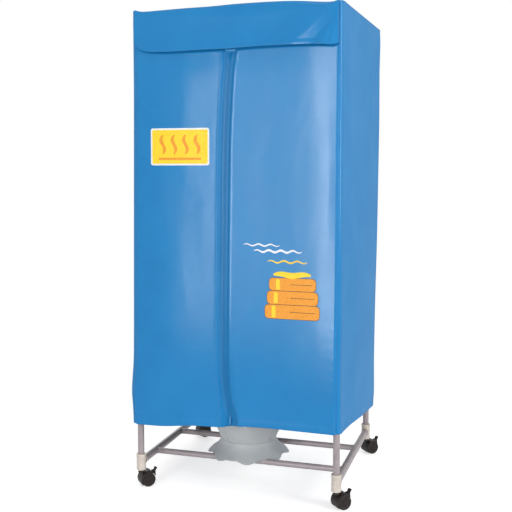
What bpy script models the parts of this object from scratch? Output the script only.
"""Portable clothes dryer: a knock-down tube stand on castors, a fan heater on its base rails
and a zipped cloth cover over two tiers of hanging rails.

Metres, +Z up. The origin is on the floor, under the middle of the whole dryer. The front, with the
zip, faces -Y, and +X is to the right of someone who stands before it.
"""
import math

import bmesh
import bpy
from mathutils import Matrix, Vector

# Whole dryer
overall_height = 1.600
post_spacing_x = 0.678
post_spacing_y = 0.554
fit_gap = 0.0003
cut_overrun = 0.004

# Tubes
tube_wall = 0.001
tube_sides = 12
post_radius = 0.011
side_rail_radius = 0.0125
cross_rail_radius = 0.010
top_rail_radius = 0.011
hanging_rail_radius = 0.009

# Foot sockets, which join a post, a base side rail and a castor stem
socket_radius = 0.0165
socket_height = 0.056
socket_chamfer = 0.001
socket_web = 0.004
spigot_length = 0.022

# Connectors half way up the posts and at their tops
connector_radius = 0.013
connector_length = 0.060
connector_chamfer = 0.001
connector_web = 0.004
mid_tier_height = 0.825
corner_depth = 0.046
corner_cap = 0.004
fitting_sides = 12

# Cross rails of the base, measured back from the front posts
front_cross_rail_setback = 0.120
back_cross_rail_setback = 0.349

# Castors
castor_height = 0.058
castor_trail = 0.0205
castor_heading_deg = 43.0
wheel_radius = 0.0245
wheel_facets = 16
wheel_width = 0.0170
wheel_shoulder = 0.0022
wheel_axle_radius = 0.0032
web_thickness = 0.0060
web_side_gap = 0.0004
hood_clearance = 0.0012
hood_wall = 0.0020
hood_facing_deg = 137.0
hood_edge_share = 0.22
web_edge_share = 0.34
swivel_boss_radius = 0.0095
stem_radius = 0.0055
stem_length = 0.0200
castor_sides = 16

# Brake lever of a castor, in the plane of the wheels
lever_width = 0.0140
lever_clearance = 0.0020
lever_swing_gap = 0.0014
lever_pivot_share = 1.165
lever_pivot_deg = 38.0
lever_lug_radius = 0.0042
lever_pin_radius = 0.0015
lever_slot_gap = 0.0004
# Distance from the axle as a share of the wheel's radius, and the angle above the trail in degrees
lever_outline_shares = (
    (1.13, 14.0), (1.25, 14.0), (1.32, 30.0), (1.45, 37.5), (1.69, 43.5), (1.90, 42.5), (1.97, 44.6),
    (1.87, 49.0), (1.69, 50.4), (1.42, 44.6), (1.26, 55.0), (0.96, 55.0), (0.96, 32.0),
)

# Fan heater: its place on the base and its shells
blower_offset_x = -0.020
blower_setback = 0.210
blower_turn_deg = 15.0
blower_sides = 24
neck_radius = 0.0972
neck_height = 0.140
shell_wall = 0.0025
skirt_radius = 0.138
skirt_hem_height = 0.0916
skirt_lobes = 8
skirt_lobe_turn_deg = 0.0
skirt_lobe_depth = 0.0055
skirt_lobe_drop = 0.0050
skirt_flange = 0.010
skirt_points_per_lobe = 5
skirt_rows = 4
bowl_radius = 0.148
bowl_rim_height = 0.271
# Height and radius of the bowl's wall between its neck and its rim, as shares of those
bowl_wall_shares = ((0.15, 0.16), (0.30, 0.34), (0.52, 0.60), (0.76, 0.85))
ledge_drop = 0.014
ledge_width = 0.008
intake_count = 6
intake_radius = 0.018
intake_ring_radius = 0.055

# Outlet grille over the bowl
grille_rise = 0.043
# Radius and height of the dome between its rim and its crown, as shares of the rim and the rise
grille_dome_shares = ((1.0, 0.14), (0.95, 0.42), (0.78, 0.72), (0.47, 0.93))
grille_slots = 12
grille_slot_width = 0.012
grille_slot_start = 0.042
grille_slot_end = 0.122

# Motor, impeller and heater. The top share is the motor's share of the height from its seat to the
# shaft's end, and the blade height share is the blades' share of the hub's height over its plate.
motor_radius = 0.030
motor_top_share = 0.57
motor_cap_height = 0.004
shaft_radius = 0.004
impeller_radius = 0.100
impeller_plate = 0.003
impeller_blades = 7
impeller_blade_height_share = 0.73
impeller_blade_thickness = 0.003
impeller_blade_sweep_deg = 35.0
impeller_blade_share = 0.78
impeller_hub_radius = 0.016
impeller_lift = 0.007
hub_cap = 0.003
heater_clearance = 0.0059
heater_ring_width = 0.009
heater_thickness = 0.006
heater_bars = 5
heater_bar_width = 0.010
heater_bar_pitch = 0.042

# Timer knob on its boss, and the cord gland at the back
knob_radius = 0.022
knob_depth = 0.014
knob_edge = 0.002
knob_drop = 0.033
knob_grip_width = 0.006
knob_grip_rise = 0.006
knob_grip_edge = 0.0008
knob_spindle_radius = 0.003
knob_spindle_length = 0.008
knob_sides = 16
boss_radius = 0.026
boss_stand_off = 0.0025
gland_rise = 0.027
gland_radius = 0.0062
gland_flange_radius = 0.0095
gland_flange_depth = 0.003
gland_bore_radius = 0.0035
gland_inside = 0.014
gland_outside = 0.012
gland_sides = 8

# Cloth cover. Slack is how far its outer face stands off the axes of the posts.
cloth_thickness = 0.0015
front_slack = 0.015
side_slack_top = 0.0452
side_slack_hem = 0.026
back_slack_top = 0.026
back_slack_hem = 0.014
top_droop_share = 0.20
hem_front_height = 0.245
hem_left_drop = 0.022
hem_back_height = 0.187
header_depth = 0.148
front_bulge = 0.010
side_fold_depth = 0.003
side_folds = 2
depth_columns = 8
width_columns = 10
fall_rows = 8
header_rows = 2
panel_columns = 8
panel_rows = 14
panel_flat_share = 0.125
flap_columns = 16
zip_offset = 0.005
zip_bow = 0.024
zip_bow_skew = 1.25
zip_gap = 0.0006

# Flap over the top of the zip
flap_depth = 0.144
flap_end_rise = 0.026
flap_bulge = 0.013
flap_hem_stand_off = 0.007
flap_swag_drop = 0.045
flap_swag_end_drop = 0.006

# Zip slider with its pull tab
slider_width = 0.009
slider_height = 0.014
slider_thickness = 0.004
slider_rise_above_hem = 0.030
pull_width = 0.006
pull_length = 0.026
pull_thickness = 0.0016
slider_edge = 0.0008

# Finishes: colour as linear RGB, roughness and metallic value
finishes = {
    "painted_steel_grey": ((0.35, 0.31, 0.32), 0.42, 0.0),
    "ivory_plastic": ((0.62, 0.54, 0.47), 0.50, 0.0),
    "black_plastic": ((0.012, 0.010, 0.010), 0.40, 0.0),
    "grey_plastic": ((0.38, 0.40, 0.41), 0.45, 0.0),
    "light_plastic": ((0.62, 0.60, 0.62), 0.45, 0.0),
    "motor_steel": ((0.45, 0.46, 0.47), 0.35, 1.0),
    "heater_ceramic": ((0.50, 0.42, 0.34), 0.60, 0.0),
    "blue_cloth": ((0.045, 0.25, 0.58), 0.62, 0.0),
    "zip_nickel": ((0.62, 0.64, 0.66), 0.30, 1.0),
}

# Places worked out from the sizes above
wheel_reach = web_thickness / 2 + web_side_gap + wheel_width
rim_reach = (wheel_radius - wheel_shoulder) * math.cos(math.pi / wheel_facets)
castor_heading = math.radians(castor_heading_deg)
castor_reach = (castor_trail + rim_reach) * math.sin(castor_heading) + wheel_reach * math.cos(castor_heading)
front_reach = front_slack + flap_bulge + cloth_thickness
front_post_y = -(post_spacing_y + max(back_slack_top, castor_reach) - front_reach) / 2
back_post_y = front_post_y + post_spacing_y
post_corners = {
    "front_left": (-1, front_post_y),
    "front_right": (1, front_post_y),
    "back_left": (-1, back_post_y),
    "back_right": (1, back_post_y),
}
socket_top = castor_height + socket_height
side_rail_height = castor_height + socket_height / 2
post_seat = castor_height + stem_length + fit_gap + socket_web
fitting_bore = post_radius + fit_gap
corner_top = overall_height - cloth_thickness - fit_gap
top_rail_height = corner_top - connector_radius
axle_height = wheel_radius * math.cos(math.pi / wheel_facets)
cover_front = front_post_y - front_slack
cloth_seam = cloth_thickness + fit_gap
blower_centre = Vector((blower_offset_x, front_post_y + blower_setback, 0))
blower_turn = math.radians(blower_turn_deg)
ledge_height = bowl_rim_height - ledge_drop
knob_height = bowl_rim_height - knob_drop
gland_height = neck_height + gland_rise
motor_seat = neck_height + shell_wall + fit_gap
shaft_end = ledge_height - heater_clearance - hub_cap - fit_gap
motor_top = motor_seat + motor_top_share * (shaft_end - motor_seat)
impeller_base = motor_top + impeller_lift
header_hem_height = overall_height - header_depth
flap_hem_height = overall_height - flap_depth


def mix(first, last, share):
    return first + (last - first) * share


def smooth(share):
    share = min(max(share, 0), 1)
    return share * share * (3 - 2 * share)


def make_collection(name):
    collection = bpy.data.collections.new(name)
    bpy.context.scene.collection.children.link(collection)
    return collection


def make_materials():
    made = {}
    for name, (colour, roughness, metallic) in finishes.items():
        material = bpy.data.materials.new(name)
        material.use_nodes = True
        shader = material.node_tree.nodes["Principled BSDF"]
        shader.inputs["Base Color"].default_value = (*colour, 1)
        shader.inputs["Roughness"].default_value = roughness
        shader.inputs["Metallic"].default_value = metallic
        made[name] = material
    return made


for leftover in list(bpy.data.objects):
    bpy.data.objects.remove(leftover, do_unlink=True)
dryer = make_collection("portable_clothes_dryer")
cutters = make_collection("cutters")
materials = make_materials()


def workpiece(mesh, name="workpiece"):
    """An object that another shape is cut or joined with, kept out of the finished dryer."""
    piece = bpy.data.objects.new(name, mesh)
    cutters.objects.link(piece)
    piece.hide_render = True
    piece.display_type = "WIRE"
    return piece


def settled(piece):
    """The mesh that an object's modifiers make, after which the object is put away."""
    bpy.context.view_layer.update()
    evaluated = piece.evaluated_get(bpy.context.evaluated_depsgraph_get())
    mesh = bpy.data.meshes.new_from_object(evaluated)
    bpy.data.objects.remove(piece, do_unlink=True)
    return mesh


def turned(profile, sides, closed=False):
    """A turned solid about Z. The profile is (radius, height) and runs down its outer side."""
    mesh = bpy.data.meshes.new("profile")
    shape = bmesh.new()
    points = [shape.verts.new((radius, 0, height)) for radius, height in profile]
    for first, second in zip(points, points[1:]):
        shape.edges.new((first, second))
    if closed:
        shape.edges.new((points[-1], points[0]))
    shape.to_mesh(mesh)
    shape.free()
    piece = workpiece(mesh)
    screw = piece.modifiers.new("Turn", "SCREW")
    screw.steps = sides
    screw.render_steps = sides
    screw.use_merge_vertices = True
    screw.merge_threshold = fit_gap / 10
    screw.use_smooth_shade = False
    return settled(piece)


def rod(radius, length, sides, turn_deg=0):
    """A solid cylinder along Z, centred on the origin."""
    mesh = bpy.data.meshes.new("rod")
    shape = bmesh.new()
    bmesh.ops.create_cone(
        shape, cap_ends=True, segments=sides, radius1=radius, radius2=radius, depth=length,
        matrix=Matrix.Rotation(math.radians(turn_deg), 4, "Z"),
    )
    shape.to_mesh(mesh)
    shape.free()
    return mesh


def block(size_x, size_y, size_z):
    """A box centred on the origin."""
    mesh = bpy.data.meshes.new("block")
    shape = bmesh.new()
    bmesh.ops.create_cube(shape, size=1, matrix=Matrix.Diagonal((size_x, size_y, size_z, 1)))
    shape.to_mesh(mesh)
    shape.free()
    return mesh


def plate(outline, thickness):
    """A flat plate in the XY plane, drawn as a flat curve through the outline's points."""
    curve = bpy.data.curves.new("outline", "CURVE")
    curve.dimensions = "2D"
    curve.fill_mode = "BOTH"
    curve.extrude = thickness / 2
    spline = curve.splines.new("POLY")
    spline.points.add(len(outline) - 1)
    for point, (across, along) in zip(spline.points, outline):
        point.co = (across, along, 0, 1)
    spline.use_cyclic_u = True
    mesh = settled(workpiece(curve))
    shape = bmesh.new()
    shape.from_mesh(mesh)
    bmesh.ops.remove_doubles(shape, verts=shape.verts, dist=fit_gap / 10)
    bmesh.ops.recalc_face_normals(shape, faces=shape.faces)
    shape.to_mesh(mesh)
    shape.free()
    return mesh


def softened(mesh, width):
    """The same solid with its sharp edges rounded in one step."""
    piece = workpiece(mesh)
    bevel = piece.modifiers.new("Soften", "BEVEL")
    bevel.width = width
    bevel.segments = 1
    return settled(piece)


def placed(mesh, place, rotation=Matrix.Identity(4)):
    """A mesh turned and moved to its place in the piece that it belongs to."""
    mesh.transform(Matrix.Translation(place) @ rotation)
    return mesh


def combined(mesh, operation, others):
    """A mesh after the others are joined to it or cut from it, one after another."""
    for other in others:
        piece = workpiece(mesh)
        tool = workpiece(other)
        boolean = piece.modifiers.new("Combine", "BOOLEAN")
        boolean.operation = operation
        boolean.solver = "EXACT"
        boolean.object = tool
        mesh = settled(piece)
        bpy.data.objects.remove(tool, do_unlink=True)
    return mesh


def joined(mesh, others):
    return combined(mesh, "UNION", others)


def cut(mesh, others):
    return combined(mesh, "DIFFERENCE", others)


def finished(name, mesh, finish, place=(0, 0, 0), turn=0, pivot=(0, 0, 0)):
    """A named piece of the dryer, at its place and turned about the vertical.

    pivot is the point of its joint's axis, in the piece's own frame, that its mesh is drawn about.
    """
    piece = bpy.data.objects.new(name, mesh)
    dryer.objects.link(piece)
    piece.location = Vector(place) + Matrix.Rotation(turn, 3, "Z") @ Vector(pivot)
    piece.rotation_euler = (0, 0, turn)
    if not mesh.materials:
        mesh.materials.append(materials[finish])
        mesh.shade_smooth()
        mesh.set_sharp_from_angle(angle=math.radians(40))
    return piece


along_x = Matrix.Rotation(math.pi / 2, 4, "Y")
along_y = Matrix.Rotation(-math.pi / 2, 4, "X")
upright_plate = Matrix.Rotation(math.pi / 2, 4, "X")


def tube_mesh(radius, length, sides=tube_sides):
    """A tube along Z, centred on the origin."""
    inside = radius - tube_wall
    end = length / 2
    profile = ((inside, end), (radius, end), (radius, -end), (inside, -end))
    return turned(profile, sides, closed=True)


def add_rail(name, centre, turn, spacing, radius, seat_radius):
    """A rail with straight ends, between two uprights of seat_radius whose axes are spacing apart."""
    mesh = tube_mesh(radius, spacing - 2 * (seat_radius + fit_gap))
    finished(name, placed(mesh, (0, 0, 0), turn), "painted_steel_grey", centre)


def add_coped_rail(name, centre, spacing, radius, seat_radius):
    """A rail from left to right whose ends are coped to sit round the rails that they meet."""
    cope_length = 2 * (radius + cut_overrun)
    copes = [
        placed(rod(seat_radius + fit_gap, cope_length, tube_sides), (end, 0, 0), along_y)
        for end in (-spacing / 2, spacing / 2)
    ]
    mesh = cut(placed(tube_mesh(radius, spacing), (0, 0, 0), along_x), copes)
    finished(name, mesh, "painted_steel_grey", centre)


def corner_place(side, depth, height=0):
    return Vector((side * post_spacing_x / 2, depth, height))


def facing_in(side, depth):
    """Turn that points a fitting's +Y spigot to the other post on its own side."""
    return 0 if depth == front_post_y else math.pi


def facing_corner(side, depth):
    """Turn that points a corner's +X and +Y spigots along the two top rails that it holds."""
    turns = {(-1, front_post_y): 0, (1, front_post_y): 1, (1, back_post_y): 2, (-1, back_post_y): 3}
    return turns[side, depth] * math.pi / 2


def spigot(tube_radius, fitting_radius, height, direction):
    """A plug that fills the end of a tube and starts inside the fitting's wall."""
    root = (fitting_bore + fitting_radius) / 2
    tip = fitting_radius + spigot_length
    plug = rod(tube_radius - tube_wall - fit_gap, tip - root, fitting_sides)
    middle = (root + tip) / 2
    if direction == "X":
        return placed(plug, (middle, 0, height), along_x)
    return placed(plug, (0, middle, height), along_y)


def add_foot_sockets():
    stem_bore = stem_radius + fit_gap
    stem_end = castor_height + stem_length + fit_gap
    shoulder = socket_radius - socket_chamfer
    profile = (
        (0, post_seat), (fitting_bore, post_seat), (fitting_bore, socket_top),
        (shoulder, socket_top), (socket_radius, socket_top - socket_chamfer),
        (socket_radius, castor_height + socket_chamfer), (shoulder, castor_height),
        (stem_bore, castor_height), (stem_bore, stem_end), (0, stem_end),
    )
    plug = spigot(side_rail_radius, socket_radius, side_rail_height, "Y")
    mesh = joined(turned(profile, fitting_sides), [plug])
    for corner, (side, depth) in post_corners.items():
        place = corner_place(side, depth)
        finished(f"foot_socket_{corner}", mesh, "ivory_plastic", place, facing_in(side, depth))


def add_mid_connectors():
    half = connector_length / 2
    web = connector_web / 2
    shoulder = connector_radius - connector_chamfer
    profile = (
        (0, web), (fitting_bore, web), (fitting_bore, half), (shoulder, half),
        (connector_radius, half - connector_chamfer), (connector_radius, connector_chamfer - half),
        (shoulder, -half), (fitting_bore, -half), (fitting_bore, -web), (0, -web),
    )
    plug = spigot(top_rail_radius, connector_radius, 0, "Y")
    mesh = joined(turned(profile, fitting_sides), [plug])
    for corner, (side, depth) in post_corners.items():
        place = corner_place(side, depth, mid_tier_height)
        finished(f"mid_connector_{corner}", mesh, "ivory_plastic", place, facing_in(side, depth))


def add_top_corners():
    shoulder = connector_radius - connector_chamfer
    profile = (
        (0, 0), (shoulder, 0), (connector_radius, -connector_chamfer),
        (connector_radius, -corner_depth), (fitting_bore, -corner_depth),
        (fitting_bore, -corner_cap), (0, -corner_cap),
    )
    plugs = [
        spigot(top_rail_radius, connector_radius, -connector_radius, direction)
        for direction in ("X", "Y")
    ]
    mesh = joined(turned(profile, fitting_sides), plugs)
    for corner, (side, depth) in post_corners.items():
        place = corner_place(side, depth, corner_top)
        finished(f"top_corner_{corner}", mesh, "ivory_plastic", place, facing_corner(side, depth))


def add_posts():
    lower_end = mid_tier_height - connector_web / 2 - fit_gap
    lower_start = post_seat + fit_gap
    upper_start = mid_tier_height + connector_web / 2 + fit_gap
    upper_end = corner_top - corner_cap - fit_gap
    spans = (("lower_post", lower_start, lower_end), ("upper_post", upper_start, upper_end))
    for name, start, end in spans:
        mesh = tube_mesh(post_radius, end - start)
        for corner, (side, depth) in post_corners.items():
            place = corner_place(side, depth, (start + end) / 2)
            finished(f"{name}_{corner}", mesh, "painted_steel_grey", place)


def add_rails():
    middle_y = (front_post_y + back_post_y) / 2
    tiers = (
        ("base_side_rail", side_rail_height, side_rail_radius, socket_radius),
        ("mid_side_arm", mid_tier_height, top_rail_radius, connector_radius),
        ("top_side_arm", top_rail_height, top_rail_radius, connector_radius),
    )
    for name, height, radius, seat in tiers:
        for label, side in (("left", -1), ("right", 1)):
            centre = corner_place(side, middle_y, height)
            add_rail(f"{name}_{label}", centre, along_y, post_spacing_y, radius, seat)
    for label, depth in (("front", front_post_y), ("back", back_post_y)):
        centre = (0, depth, top_rail_height)
        add_rail(f"top_rail_{label}", centre, along_x, post_spacing_x, top_rail_radius, connector_radius)
    for label, setback in (("front", front_cross_rail_setback), ("back", back_cross_rail_setback)):
        centre = (0, front_post_y + setback, side_rail_height)
        name = f"base_cross_rail_{label}"
        add_coped_rail(name, centre, post_spacing_x, cross_rail_radius, side_rail_radius)
    for label, height in (("top", top_rail_height), ("mid", mid_tier_height)):
        name = f"{label}_hanging_rail"
        centre = (0, middle_y, height)
        add_coped_rail(name, centre, post_spacing_x, hanging_rail_radius, top_rail_radius)


def polar(share, angle_deg):
    """A point in the wheels' plane, at a share of their radius from the axle."""
    angle = math.radians(angle_deg)
    reach = share * wheel_radius
    return Vector((castor_trail + reach * math.cos(angle), 0, axle_height + reach * math.sin(angle)))


def edge_cutter(share):
    """A block that takes off what lies beyond a slanting edge across the castor's hood."""
    size = 8 * wheel_radius
    facing = math.radians(hood_facing_deg)
    offset = share * wheel_radius - size / 2
    centre = Vector((castor_trail + offset * math.cos(facing), 0, axle_height + offset * math.sin(facing)))
    return placed(block(size, size, size), centre, Matrix.Rotation(-facing, 4, "Y"))


def castor_housing_mesh():
    axle = Vector((castor_trail, 0, axle_height))
    wheel_space = wheel_radius + hood_clearance
    hood_radius = wheel_space + hood_wall
    half_turn = 180 / castor_sides
    boss_top = castor_height - fit_gap
    boss_height = boss_top - axle_height
    hood = placed(rod(hood_radius, 2 * wheel_reach, castor_sides, half_turn), axle, along_y)
    boss = placed(rod(swivel_boss_radius, boss_height, fitting_sides), (0, 0, boss_top - boss_height / 2))
    space_length = 2 * (wheel_reach + cut_overrun)
    space = placed(rod(wheel_space, space_length, castor_sides, half_turn), axle, along_y)
    mesh = cut(joined(hood, [boss]), [space, edge_cutter(hood_edge_share)])
    web_radius = wheel_space + hood_wall / 2
    web = placed(rod(web_radius, web_thickness, castor_sides, half_turn), axle, along_y)
    web = cut(web, [edge_cutter(-web_edge_share)])
    pivot = polar(lever_pivot_share, lever_pivot_deg)
    lug = placed(rod(lever_lug_radius, web_thickness, fitting_sides), pivot, along_y)
    stem_span = stem_length + hood_wall
    stem_centre = castor_height + stem_length - fit_gap - stem_span / 2
    stem = placed(rod(stem_radius, stem_span, fitting_sides), (0, 0, stem_centre))
    mesh = joined(mesh, [web, lug, stem])
    axle_hole = rod(wheel_axle_radius + fit_gap, space_length, fitting_sides)
    pin_hole = rod(lever_pin_radius + fit_gap, space_length, fitting_sides)
    return cut(mesh, [placed(axle_hole, axle, along_y), placed(pin_hole, pivot, along_y)])


def castor_wheels_mesh():
    """Both wheels of a castor and the axle that joins them, with a flat facet of the tread down."""
    inner = web_thickness / 2 + web_side_gap
    rim = wheel_radius - wheel_shoulder
    half = (
        (0, wheel_reach), (rim, wheel_reach), (wheel_radius, wheel_reach - wheel_shoulder),
        (wheel_radius, inner + wheel_shoulder), (rim, inner), (wheel_axle_radius, inner),
    )
    profile = half + tuple((radius, -place) for radius, place in reversed(half))
    mesh = turned(profile, wheel_facets)
    facet_down = Matrix.Rotation(math.pi / wheel_facets, 4, "Z")
    mesh.transform(along_y @ facet_down)
    return mesh


def brake_lever_mesh():
    axle = Vector((castor_trail, 0, axle_height))
    pivot = polar(lever_pivot_share, lever_pivot_deg)
    tread = rod(wheel_radius + lever_clearance, lever_width + cut_overrun, castor_sides, 180 / castor_sides)
    slot_width = web_thickness + 2 * lever_slot_gap
    slot = rod(lever_lug_radius + lever_slot_gap, slot_width, fitting_sides)
    web_slot = rod(wheel_radius + hood_clearance + hood_wall + lever_swing_gap, slot_width, castor_sides)
    places = [polar(share, angle_deg) for share, angle_deg in lever_outline_shares]
    lever = plate([(place.x, place.z) for place in places], lever_width)
    lever.transform(upright_plate)
    lever = cut(
        lever,
        [placed(tread, axle, along_y), placed(slot, pivot, along_y), placed(web_slot, axle, along_y)],
    )
    pin = placed(rod(lever_pin_radius, (slot_width + lever_width) / 2, fitting_sides), pivot, along_y)
    return placed(joined(lever, [pin]), -pivot)


def add_castors():
    kinds = (
        ("castor_housing", castor_housing_mesh(), (0, 0, 0)),
        ("castor_wheels", castor_wheels_mesh(), (castor_trail, 0, axle_height)),
        ("brake_lever", brake_lever_mesh(), polar(lever_pivot_share, lever_pivot_deg)),
    )
    for name, mesh, pivot in kinds:
        for corner, (side, depth) in post_corners.items():
            place = corner_place(side, depth)
            finished(f"{name}_{corner}", mesh, "black_plastic", place, castor_heading, pivot)


def skirt_point(turn_share, fall_share):
    """A point of the wavy skirt, from its neck, where fall_share is 0, to its hem."""
    angle = 2 * math.pi * turn_share
    swing = math.cos(skirt_lobes * (angle - math.radians(skirt_lobe_turn_deg)))
    flare = fall_share ** 2
    radius = mix(neck_radius, skirt_radius, fall_share ** 1.5) + skirt_lobe_depth * flare * swing
    hem = skirt_hem_height - skirt_lobe_drop * flare * swing
    height = mix(neck_height - fit_gap, hem, fall_share ** 0.85)
    return Vector((radius * math.cos(angle), radius * math.sin(angle), height))


def add_blower_base():
    """The skirt that stands on the base rails: an open wavy sheet given its wall."""
    columns = skirt_lobes * skirt_points_per_lobe
    shape = bmesh.new()
    rings = []
    flange_radius = neck_radius - skirt_flange
    for row in range(-1, skirt_rows + 1):
        ring = []
        for column in range(columns):
            point = skirt_point(column / columns, max(row, 0) / skirt_rows)
            if row < 0:
                point = Vector((point.x, point.y, 0)) * (flange_radius / neck_radius)
                point.z = neck_height - fit_gap
            ring.append(shape.verts.new(point))
        rings.append(ring)
    for upper, lower in zip(rings, rings[1:]):
        for column in range(columns):
            after = (column + 1) % columns
            shape.faces.new((upper[column], lower[column], lower[after], upper[after]))
    mesh = bpy.data.meshes.new("skirt")
    shape.to_mesh(mesh)
    shape.free()
    piece = workpiece(mesh)
    wall = piece.modifiers.new("Wall", "SOLIDIFY")
    wall.thickness = shell_wall
    wall.offset = -1
    mesh = settled(piece)
    slot_radius = cross_rail_radius + fit_gap
    arch = [(-slot_radius, -side_rail_height / 2)]
    for step in range(tube_sides // 2 + 1):
        angle = math.pi - 2 * math.pi * step / tube_sides
        arch.append((slot_radius * math.cos(angle), slot_radius * math.sin(angle)))
    arch.append((slot_radius, -side_rail_height / 2))
    turn_back = Matrix.Rotation(-blower_turn, 4, "Z")
    slots = []
    for setback in (front_cross_rail_setback, back_cross_rail_setback):
        place = Vector((0, setback - blower_setback, side_rail_height))
        slot = plate(arch, 4 * skirt_radius)
        slot.transform(upright_plate)
        slot.transform(Matrix.Rotation(math.pi / 2, 4, "Z"))
        slots.append(placed(slot, turn_back @ place, turn_back))
    finished("blower_base", cut(mesh, slots), "grey_plastic", blower_centre, blower_turn)


def bowl_wall(inset):
    """The bowl's wall from rim to neck as (radius, height), drawn in by a wall's thickness."""
    wall = [(bowl_radius - inset, bowl_rim_height)]
    for height_share, radius_share in reversed(bowl_wall_shares):
        radius = mix(neck_radius, bowl_radius, radius_share) - inset
        wall.append((radius, mix(neck_height, bowl_rim_height, height_share)))
    wall.append((neck_radius - inset, neck_height + inset))
    return wall


def wall_radius(height, inset=0):
    """Radius of the bowl's wall at a height."""
    wall = bowl_wall(inset)
    for (upper_radius, upper), (lower_radius, lower) in zip(wall, wall[1:]):
        if height >= lower:
            return mix(lower_radius, upper_radius, (height - lower) / (upper - lower))
    return neck_radius - inset


def add_blower_bowl():
    outside = bowl_wall(0)
    solid = turned([(0, bowl_rim_height)] + outside + [(0, neck_height)], blower_sides)
    boss_face = bowl_radius + boss_stand_off
    boss_root = neck_radius
    boss = rod(boss_radius, boss_face - boss_root, knob_sides)
    boss = placed(boss, (0, -(boss_face + boss_root) / 2, knob_height), along_y)
    inside = bowl_wall(shell_wall)
    ledge_outer = wall_radius(ledge_height, shell_wall)
    ledge_inner = ledge_outer - ledge_width
    ledge_under = ledge_height - shell_wall
    above = [(bowl_radius - shell_wall, bowl_rim_height + cut_overrun)]
    above += [point for point in inside if point[1] > ledge_height]
    below = [point for point in inside if point[1] < ledge_under]
    cavity_profile = [(0, bowl_rim_height + cut_overrun)] + above
    cavity_profile += [(ledge_outer, ledge_height), (ledge_inner, ledge_height), (ledge_inner, ledge_under)]
    cavity_profile += [(wall_radius(ledge_under, shell_wall), ledge_under)] + below
    cavity_profile += [(0, neck_height + shell_wall)]
    cavity = turned(cavity_profile, blower_sides)
    holes = []
    for number in range(intake_count):
        angle = 2 * math.pi * number / intake_count
        place = (intake_ring_radius * math.cos(angle), intake_ring_radius * math.sin(angle), neck_height)
        holes.append(placed(rod(intake_radius, 2 * (shell_wall + cut_overrun), gland_sides), place))
    spindle_depth = knob_spindle_length + fit_gap
    spindle_hole = rod(knob_spindle_radius + fit_gap, 2 * spindle_depth, gland_sides)
    holes.append(placed(spindle_hole, (0, -boss_face, knob_height), along_y))
    gland_hole = rod(gland_radius + fit_gap, 2 * neck_radius, gland_sides)
    holes.append(placed(gland_hole, (0, wall_radius(gland_height), gland_height), along_y))
    mesh = cut(joined(solid, [boss]), [cavity] + holes)
    finished("blower_bowl", mesh, "grey_plastic", blower_centre, blower_turn)


def add_outlet_grille():
    base = bowl_rim_height + fit_gap
    outer = [(bowl_radius * radius, base + grille_rise * rise) for radius, rise in grille_dome_shares]
    crown = base + grille_rise
    inner = [(radius - shell_wall, height - shell_wall) for radius, height in outer[1:]]
    profile = [(0, crown)] + outer[::-1] + [(bowl_radius, base), (bowl_radius - shell_wall, base)]
    profile += [(bowl_radius - shell_wall, outer[0][1])] + inner + [(0, crown - shell_wall)]
    mesh = turned(profile, blower_sides)
    slots = []
    span = grille_slot_end - grille_slot_start
    for number in range(grille_slots):
        turn = Matrix.Rotation(2 * math.pi * number / grille_slots, 4, "Z")
        place = Vector(((grille_slot_start + grille_slot_end) / 2, 0, crown))
        slot = block(span, grille_slot_width, 2 * grille_rise)
        slots.append(placed(slot, turn @ place, turn))
    finished("outlet_grille", cut(mesh, slots), "grey_plastic", blower_centre, blower_turn)


def add_motor():
    cap_radius = motor_radius - motor_cap_height
    profile = (
        (0, shaft_end), (shaft_radius, shaft_end), (shaft_radius, motor_top), (cap_radius, motor_top),
        (motor_radius, motor_top - motor_cap_height), (motor_radius, motor_seat), (0, motor_seat),
    )
    finished("fan_motor", turned(profile, fitting_sides), "motor_steel", blower_centre, blower_turn)


def add_impeller():
    plate_top = impeller_base + impeller_plate
    bore = shaft_radius + fit_gap
    bore_end = shaft_end + fit_gap
    profile = (
        (0, bore_end + hub_cap), (impeller_hub_radius, bore_end + hub_cap),
        (impeller_hub_radius, plate_top), (impeller_radius, plate_top),
        (impeller_radius, impeller_base), (bore, impeller_base), (bore, bore_end), (0, bore_end),
    )
    mesh = turned(profile, castor_sides)
    length = impeller_radius - impeller_hub_radius
    root = impeller_base + impeller_plate / 2
    rise = mix(plate_top, bore_end + hub_cap, impeller_blade_height_share) - root
    blades = []
    for number in range(impeller_blades):
        turn = Matrix.Rotation(2 * math.pi * number / impeller_blades, 4, "Z")
        sweep = Matrix.Rotation(math.radians(impeller_blade_sweep_deg), 4, "Z")
        middle = Vector(((impeller_radius + impeller_hub_radius) / 2, 0, root + rise / 2))
        blade = block(length * impeller_blade_share, impeller_blade_thickness, rise)
        blades.append(placed(blade, turn @ middle, turn @ sweep))
    finished("fan_impeller", joined(mesh, blades), "black_plastic", blower_centre, blower_turn)


def add_heater():
    radius = wall_radius(ledge_height, shell_wall) - fit_gap
    base = ledge_height + fit_gap
    top = base + heater_thickness
    inner = radius - heater_ring_width
    mesh = turned(((inner, top), (radius, top), (radius, base), (inner, base)), blower_sides, closed=True)
    bars = []
    for number in range(heater_bars):
        offset = (number - (heater_bars - 1) / 2) * heater_bar_pitch
        half = math.sqrt(inner ** 2 - offset ** 2) + heater_ring_width / 2
        bar = block(2 * half, heater_bar_width, heater_thickness / 2)
        bars.append(placed(bar, (0, offset, (base + top) / 2)))
    finished("heater_element", joined(mesh, bars), "heater_ceramic", blower_centre, blower_turn)


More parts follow.
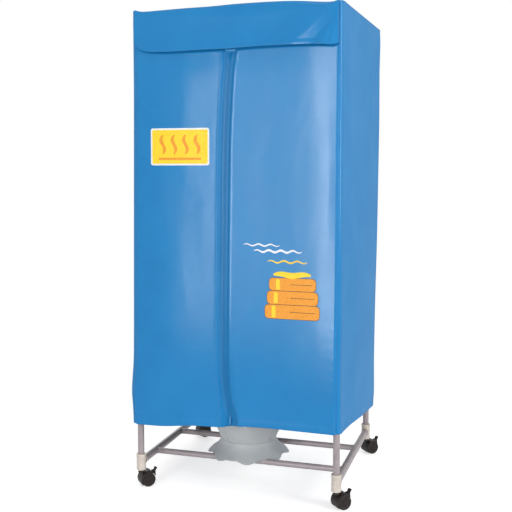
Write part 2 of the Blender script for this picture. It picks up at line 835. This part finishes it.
def add_timer_knob():
    face = bowl_radius + boss_stand_off + fit_gap
    front = face + knob_depth
    profile = (
        (0, front), (knob_radius - knob_edge, front), (knob_radius, front - knob_edge), (knob_radius, face),
        (knob_spindle_radius, face), (knob_spindle_radius, face - knob_spindle_length),
        (0, face - knob_spindle_length),
    )
    mesh = turned(profile, knob_sides)
    grip_root = front - knob_edge
    grip = block(knob_grip_width, 2 * (knob_radius - knob_edge), knob_grip_rise + knob_edge)
    grip = placed(softened(grip, knob_grip_edge), (0, 0, grip_root + (knob_grip_rise + knob_edge) / 2))
    mesh = joined(mesh, [grip])
    mesh.transform(Matrix.Rotation(math.pi / 2, 4, "X"))
    place = blower_centre + Vector((0, 0, knob_height))
    finished("timer_knob", mesh, "light_plastic", place, blower_turn)


def add_cord_gland():
    seat = wall_radius(gland_height + gland_flange_radius) + fit_gap
    outer = seat + gland_flange_depth + gland_outside
    profile = (
        (gland_bore_radius, outer), (gland_radius, outer), (gland_radius, seat + gland_flange_depth),
        (gland_flange_radius, seat + gland_flange_depth), (gland_flange_radius, seat),
        (gland_radius, seat), (gland_radius, seat - gland_inside), (gland_bore_radius, seat - gland_inside),
    )
    mesh = turned(profile, gland_sides, closed=True)
    mesh.transform(Matrix.Rotation(-math.pi / 2, 4, "X"))
    place = blower_centre + Vector((0, 0, gland_height))
    finished("cord_gland", mesh, "black_plastic", place, blower_turn)


def cover_half_width(depth_share, fall_share):
    back = mix(side_slack_top, side_slack_hem, fall_share)
    return post_spacing_x / 2 + mix(front_slack, back, depth_share)


def cover_depth(depth_share, fall_share):
    """How far back a point of the cover lies, from its front to its back."""
    back = back_post_y + mix(back_slack_top, back_slack_hem, fall_share)
    return mix(cover_front, back, depth_share)


def spread_depth(along):
    """Share of the depth, so placed that a grid's last row but one is just behind the back posts."""
    held = (back_post_y + connector_radius - cover_front) / (cover_depth(1, 0) - cover_front)
    edge = 1 / depth_columns
    if along > 1 - edge:
        return mix(held, 1, (along - 1 + edge) / edge)
    return mix(0, held, along / (1 - edge))


def spread_width(across, depth_share):
    """Share of the half width, so placed that a grid's outer column but one is beside the posts."""
    held = (post_spacing_x / 2 + connector_radius) / cover_half_width(depth_share, 0)
    edge = 1 / width_columns
    if across < edge:
        return mix(-1, -held, across / edge)
    if across > 1 - edge:
        return mix(held, 1, (across - 1 + edge) / edge)
    return mix(-held, held, (across - edge) / (1 - 2 * edge))


def cover_top_height(width_share, depth_share):
    """Height of the cover's top, which droops where nothing holds it up past the back posts."""
    place_x = width_share * cover_half_width(depth_share, 0)
    over_side = max(abs(place_x) - post_spacing_x / 2 - connector_radius, 0)
    over_back = max(cover_depth(depth_share, 0) - back_post_y - connector_radius, 0)
    return overall_height - top_droop_share * math.hypot(over_side, over_back)


def front_hem(place_x):
    """Height of the front hem, which hangs lower towards the left."""
    share = min(max(place_x / post_spacing_x + 1 / 2, 0), 1)
    return hem_front_height - hem_left_drop * (1 - share) ** 3


def zip_place(height):
    """Where the bowed zip lies between the two front panels."""
    fall = (header_hem_height - height) / (header_hem_height - hem_front_height)
    swing = abs(2 * min(max(fall, 0), 1) ** zip_bow_skew - 1)
    return -zip_offset - zip_bow * (1 - swing ** 4)


def fold(share, fall_share):
    """Depth of the main upright folds of a side, which fade out at its edges."""
    return side_fold_depth * math.sin(side_folds * math.pi * share) ** 2 * math.sin(math.pi * fall_share)


def cloth(name, surface, columns, rows, pivot=(0, 0, 0)):
    """A cloth panel whose outer face is surface(across, down), given its thickness inwards."""
    shape = bmesh.new()
    bmesh.ops.create_grid(shape, x_segments=columns, y_segments=rows, size=1)
    for corner in shape.verts:
        corner.co = surface((1 + corner.co.x) / 2, (1 - corner.co.y) / 2) - Vector(pivot)
    mesh = bpy.data.meshes.new(name)
    shape.to_mesh(mesh)
    shape.free()
    piece = workpiece(mesh)
    wall = piece.modifiers.new("Thickness", "SOLIDIFY")
    wall.thickness = cloth_thickness
    wall.offset = -1
    wall.use_even_offset = True
    finished(name, settled(piece), "blue_cloth", pivot=pivot)


def side_panel(side):
    def surface(across, down):
        depth_share = spread_depth(1 - across if side < 0 else across)
        edge = cloth_seam * (1 - 2 * depth_share)
        place_x = side * (cover_half_width(depth_share, down) + fold(depth_share, down))
        top = cover_top_height(side, depth_share) - cloth_seam
        hem = mix(front_hem(side * post_spacing_x / 2), hem_back_height, depth_share)
        return Vector((place_x, cover_depth(depth_share, down) + edge, mix(top, hem, down)))
    return surface


def back_panel(across, down):
    width_share = -spread_width(across, 1)
    place_x = width_share * cover_half_width(1, down)
    top = cover_top_height(width_share, 1) - cloth_seam
    return Vector((place_x, cover_depth(1, down) - fold(across, down), mix(top, hem_back_height, down)))


def top_panel(across, down):
    """The cover's top from its back edge to the front, and the header strip down from there."""
    header_share = header_rows / (header_rows + depth_columns)
    along = 1 - down / (1 - header_share)
    depth_share = spread_depth(max(along, 0))
    width_share = spread_width(across, depth_share)
    if along >= 0:
        height = cover_top_height(width_share, depth_share)
        return Vector((width_share * cover_half_width(depth_share, 0), cover_depth(depth_share, 0), height))
    fall = (down - 1 + header_share) / header_share
    height = mix(overall_height, header_hem_height, fall)
    return Vector((width_share * cover_half_width(0, 0), cover_front, height))


def front_panel(side):
    def surface(across, down):
        from_zip = 1 - across if side < 0 else across
        height = mix(header_hem_height - fit_gap, hem_front_height, down)
        place_x = mix(zip_place(height) + side * zip_gap / 2, side * cover_half_width(0, 0), from_zip)
        swell = math.sin(math.pi * max(from_zip - panel_flat_share, 0) / (1 - panel_flat_share))
        place_y = cover_front - front_bulge * swell * math.sin(math.pi * down)
        return Vector((place_x, place_y, mix(header_hem_height - fit_gap, front_hem(place_x), down)))
    return surface


def flap_surface(across, down):
    """The flap swells out to a crease that hangs like a swag, and falls straight from there."""
    width_share = 2 * across - 1
    span = 1 - width_share ** 2
    hem = flap_hem_height + flap_end_rise * width_share ** 8
    crease = overall_height - mix(flap_swag_end_drop, flap_swag_drop, span)
    if down < 1 / 2:
        height = mix(overall_height, crease, 2 * down)
        bulge = flap_bulge * span * smooth(2 * down)
    else:
        height = mix(crease, hem, 2 * down - 1)
        bulge = span * mix(flap_bulge, flap_hem_stand_off, smooth(2 * down - 1))
    return Vector((width_share * cover_half_width(0, 0), cover_front - cloth_seam - bulge, height))


def add_cover():
    seam_x = cover_half_width(0, 0)
    cloth("cover_top", top_panel, width_columns, depth_columns + header_rows)
    cloth("cover_left", side_panel(-1), depth_columns, fall_rows)
    cloth("cover_right", side_panel(1), depth_columns, fall_rows)
    cloth("cover_back", back_panel, width_columns, fall_rows)
    for label, side in (("left", -1), ("right", 1)):
        hinge = (side * seam_x, cover_front, hem_front_height)
        cloth(f"front_panel_{label}", front_panel(side), panel_columns, panel_rows, hinge)
    cloth("cover_flap", flap_surface, flap_columns, fall_rows, (0, cover_front, overall_height))


def add_zip_slider():
    """The slider sits on the left panel's row of teeth, with its pull tab hanging in front."""
    height = hem_front_height + slider_rise_above_hem
    face = cover_front - fit_gap
    body = softened(block(slider_width, slider_thickness, slider_height), slider_edge)
    tab_top = slider_height / 2 - slider_edge
    tab_place = (0, -slider_thickness / 2, tab_top - pull_length / 2)
    tab = placed(block(pull_width, pull_thickness, pull_length), tab_place)
    mesh = joined(body, [tab])
    place_x = zip_place(height) - zip_gap - slider_width / 2
    place = (place_x, face - slider_thickness / 2, height)
    finished("zip_slider", mesh, "zip_nickel", place)


add_foot_sockets()
add_mid_connectors()
add_top_corners()
add_posts()
add_rails()
add_castors()
add_blower_base()
add_blower_bowl()
add_outlet_grille()
add_motor()
add_impeller()
add_heater()
add_timer_knob()
add_cord_gland()
add_cover()
add_zip_slider()
